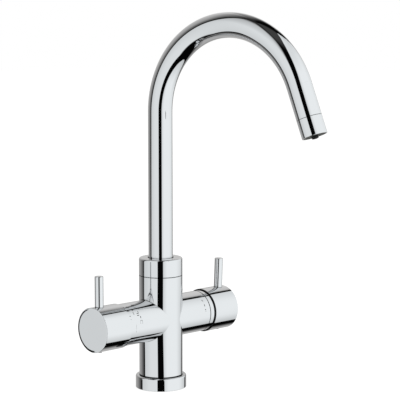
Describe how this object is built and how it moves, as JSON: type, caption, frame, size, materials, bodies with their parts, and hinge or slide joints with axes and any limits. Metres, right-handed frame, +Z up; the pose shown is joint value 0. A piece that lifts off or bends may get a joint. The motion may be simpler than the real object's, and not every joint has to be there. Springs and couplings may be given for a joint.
{
  "type": "four-way kitchen mixer tap",
  "caption": "Chrome deck-mounted kitchen mixer tap with a swan-neck swivel spout, a hot and cold mixer handle and a filtered water handle on side arms.",
  "frame": {"origin": "centre of the base ring's underside, on the deck", "axes": "+Z up, -Y to the front (the side of the person at the sink), +X towards the mixer handle"},
  "size_m": [0.1839, 0.2252, 0.387],
  "materials": {
    "chrome": "mirror-polished chrome plate",
    "seal_rubber": "matt black rubber",
    "steel": "plain stainless steel",
    "brass": "machined brass",
    "ceramic": "lapped white ceramic",
    "white_plastic": "moulded white plastic",
    "tube_plastic": "milky drinking-water tube",
    "aerator_plastic": "dark grey moulded plastic",
    "black_plastic": "moulded black plastic"
  },
  "bodies": {
    "tap_body": {"body": "chrome", "base_ring": "chrome", "base_gasket": "seal_rubber", "swivel_collar": "chrome", "slide_rings": "white_plastic", "swivel_stop_screw": "steel", "filter_spigot": "brass", "spigot_seal": "seal_rubber", "filter_valve_body": "brass", "filter_valve_seal": "seal_rubber", "filter_fixed_disc": "ceramic", "cartridge_base": "white_plastic", "cartridge_seals": "seal_rubber", "cartridge_housing": "white_plastic", "cartridge_fixed_disc": "ceramic", "cartridge_nut": "brass", "cover_ring": "chrome"},
    "spout": {"spout_base": "brass", "spout_seals": "seal_rubber", "tube_coupling": "white_plastic", "spout_tube": "chrome", "filter_tube": "tube_plastic", "outlet_sleeve": "chrome", "aerator_seal": "seal_rubber", "aerator_screen": "steel", "aerator_insert": "aerator_plastic", "filter_nozzle": "black_plastic"},
    "filter_handle": {"filter_spindle": "brass", "filter_moving_disc": "ceramic", "spindle_seals": "seal_rubber", "spindle_clip": "steel", "filter_knob": "chrome", "filter_lever": "chrome", "filter_knob_screw": "steel", "filter_screw_plug": "black_plastic"},
    "mixer_handle": {"cartridge_stem": "brass", "cartridge_moving_disc": "ceramic", "stem_seals": "seal_rubber", "stem_clip": "steel", "mixer_knob": "chrome", "knob_slide_ring": "black_plastic", "mixer_lever": "chrome", "mixer_knob_screw": "steel", "mixer_screw_plug": "black_plastic"}
  },
  "joints": [
    {"name": "spout_swivel", "type": "hinge", "parent": "tap_body", "child": "spout", "pos_m": [0, 0, 0], "axis": [0, 0, 1], "range_deg": [-78, 62]},
    {"name": "filter_turn", "type": "hinge", "parent": "tap_body", "child": "filter_handle", "pos_m": [0, 0, 0.072], "axis": [1, 0, 0], "range_deg": [-90, 90]},
    {"name": "mixer_turn", "type": "hinge", "parent": "tap_body", "child": "mixer_handle", "pos_m": [0, 0, 0.072], "axis": [1, 0, 0], "range_deg": [-2.6, 97.4]}
  ]
}
